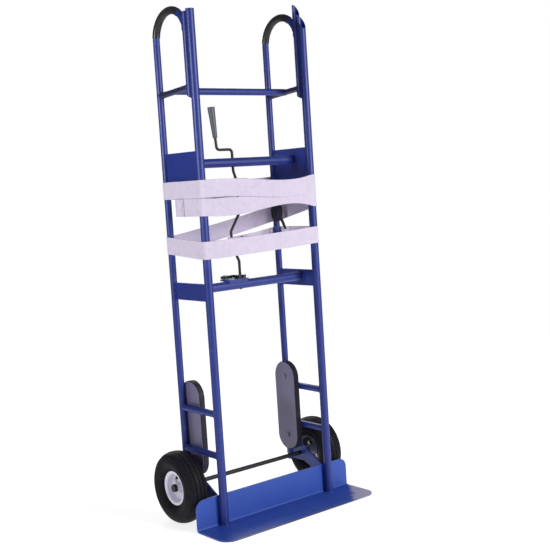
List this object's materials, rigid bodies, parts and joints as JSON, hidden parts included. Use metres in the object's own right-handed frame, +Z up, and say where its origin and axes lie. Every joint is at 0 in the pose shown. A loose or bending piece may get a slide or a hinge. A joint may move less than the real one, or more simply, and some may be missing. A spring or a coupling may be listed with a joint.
{
  "type": "appliance hand truck",
  "caption": "Tall blue tubular hand truck for appliances, with loop handles, crank-tightened web strap, stair-climber belts, pneumatic wheels and a wide toe plate.",
  "frame": {"origin": "on the floor, on the underside of the toe plate, midway between the axes of the two front rails", "axes": "+Z up along the rails, -Y towards the load side, +X to the right seen from the load side"},
  "size_m": [0.733, 0.442, 1.857],
  "materials": {
    "blue_paint": "gloss enamel over welded steel tube",
    "dark_paint": "gloss enamel, darker by dirt",
    "black_steel": "black finish on steel",
    "zinc": "zinc plated",
    "rim_paint": "white enamel on pressed steel",
    "tyre": "rubber",
    "vinyl": "soft vinyl sleeve",
    "grey_paint": "satin grey enamel",
    "belt_rubber": "rubber belt",
    "roller_plastic": "moulded nylon",
    "grip_plastic": "moulded grip",
    "webbing": "woven polyester web"
  },
  "bodies": {
    "frame": {"axle": "black_steel", "axle_bracket_left": "blue_paint", "axle_bracket_right": "blue_paint", "axle_caps": "black_steel", "axle_spacers": "zinc", "climber_belt_left": "belt_rubber", "climber_belt_right": "belt_rubber", "climber_pins": "grey_paint", "climber_plate_in_left": "grey_paint", "climber_plate_in_right": "grey_paint", "climber_plate_out_left": "grey_paint", "climber_plate_out_right": "grey_paint", "climber_posts": "zinc", "hand_grip_left": "vinyl", "hand_grip_right": "vinyl", "hook_plate": "black_steel", "lower_bar": "blue_paint", "lower_panel_left": "blue_paint", "lower_panel_right": "blue_paint", "lower_rung_left": "blue_paint", "lower_rung_right": "blue_paint", "nose_plate": "blue_paint", "pawl_pin": "zinc", "rail_left": "blue_paint", "rail_right": "blue_paint", "rear_tube_left": "blue_paint", "rear_tube_right": "blue_paint", "strap_lower": "webbing", "strap_upper": "webbing", "top_bar": "blue_paint", "top_brace_left": "dark_paint", "top_brace_right": "dark_paint", "upper_bar": "blue_paint", "upper_panel_left": "blue_paint", "upper_panel_right": "blue_paint", "upper_rung_left": "blue_paint", "upper_rung_right": "blue_paint", "winder_base": "blue_paint"},
    "wheel_left": {"tyre_left": "tyre", "inner_tube_left": "belt_rubber", "rim_outer_left": "rim_paint", "rim_inner_left": "rim_paint", "rim_bolts_left": "zinc", "hub_left": "rim_paint", "bearings_left": "zinc"},
    "wheel_right": {"tyre_right": "tyre", "inner_tube_right": "belt_rubber", "rim_outer_right": "rim_paint", "rim_inner_right": "rim_paint", "rim_bolts_right": "zinc", "hub_right": "rim_paint", "bearings_right": "zinc"},
    "winder": {"crank_rod": "black_steel", "ratchet_wheel": "black_steel"},
    "crank_grip": {"crank_grip": "grip_plastic"},
    "pawl": {"pawl": "black_steel"},
    "roller_high_left": {"roller_high_left": "roller_plastic"},
    "roller_high_right": {"roller_high_right": "roller_plastic"},
    "roller_low_left": {"roller_low_left": "roller_plastic"},
    "roller_low_right": {"roller_low_right": "roller_plastic"}
  },
  "joints": [
    {"name": "wheel_left_spin", "type": "hinge", "parent": "frame", "child": "wheel_left", "pos_m": [-0.324, 0.159, 0.131], "axis": [1, 0, 0], "continuous": true},
    {"name": "roller_high_left_spin", "type": "hinge", "parent": "frame", "child": "roller_high_left", "pos_m": [-0.2248, 0.184, 0.442], "axis": [1, 0, 0], "continuous": true},
    {"name": "roller_low_left_spin", "type": "hinge", "parent": "frame", "child": "roller_low_left", "pos_m": [-0.2248, 0.184, 0.208], "axis": [1, 0, 0], "continuous": true},
    {"name": "wheel_right_spin", "type": "hinge", "parent": "frame", "child": "wheel_right", "pos_m": [0.324, 0.159, 0.131], "axis": [1, 0, 0], "continuous": true},
    {"name": "roller_high_right_spin", "type": "hinge", "parent": "frame", "child": "roller_high_right", "pos_m": [0.2248, 0.184, 0.442], "axis": [1, 0, 0], "continuous": true},
    {"name": "roller_low_right_spin", "type": "hinge", "parent": "frame", "child": "roller_low_right", "pos_m": [0.2248, 0.184, 0.208], "axis": [1, 0, 0], "continuous": true},
    {"name": "winder_spin", "type": "hinge", "parent": "frame", "child": "winder", "pos_m": [-0.045, 0.087, 1.332], "axis": [0, 0, 1], "continuous": true},
    {"name": "crank_grip_spin", "type": "hinge", "parent": "winder", "child": "crank_grip", "pos_m": [-0.112, 0.087, 1.332], "axis": [-0.0872, 0, 0.9962], "continuous": true},
    {"name": "pawl_swing", "type": "hinge", "parent": "frame", "child": "pawl", "pos_m": [-0.095, 0.115, 0.869], "axis": [0, 0, 1], "range_deg": [-6, 0]}
  ],
  "couplings": [
    {"joint": "roller_low_left_spin", "follows": "roller_high_left_spin", "ratio": 1},
    {"joint": "roller_low_right_spin", "follows": "roller_high_right_spin", "ratio": 1}
  ]
}
